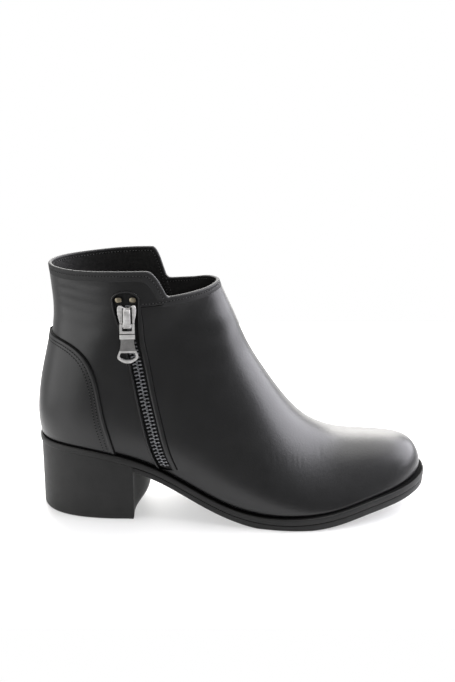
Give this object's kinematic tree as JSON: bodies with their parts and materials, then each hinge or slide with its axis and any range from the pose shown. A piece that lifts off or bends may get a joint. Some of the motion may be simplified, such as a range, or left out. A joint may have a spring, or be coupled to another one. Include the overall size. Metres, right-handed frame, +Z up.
{
  "type": "ankle bootie",
  "caption": "Right leather ankle bootie on a block heel, with a stepped collar, a heel counter and a side zip whose pull tab swings.",
  "frame": {"origin": "on the floor, under the middle of the sole's box", "axes": "+X towards the toe, +Y towards the medial side, away from the zip, +Z up from the floor"},
  "size_m": [0.2591, 0.1007, 0.1689],
  "materials": {
    "leather": "smooth black leather, satin gloss",
    "sole": "moulded black rubber, satin",
    "lining": "black lining leather, matt",
    "tape": "black woven zip tape",
    "nickel": "bright nickel",
    "brass": "pale brass"
  },
  "bodies": {
    "boot": {"upper": "leather", "heel_counter": "leather", "midsole": "sole", "outsole": "sole", "heel": "sole", "insole": "lining", "zip_tape": "tape", "zip_chain_front": "nickel", "zip_chain_rear": "nickel", "zip_top_stop_front": "brass", "zip_top_stop_rear": "brass", "zip_slider": "nickel"},
    "pull": {"zip_pull": "nickel"}
  },
  "joints": [
    {"name": "pull_hinge", "type": "hinge", "parent": "boot", "child": "pull", "pos_m": [-0.06623, -0.0343, 0.13447], "axis": [-0.9979, -0.0647, 0], "range_deg": [0, 140]}
  ]
}
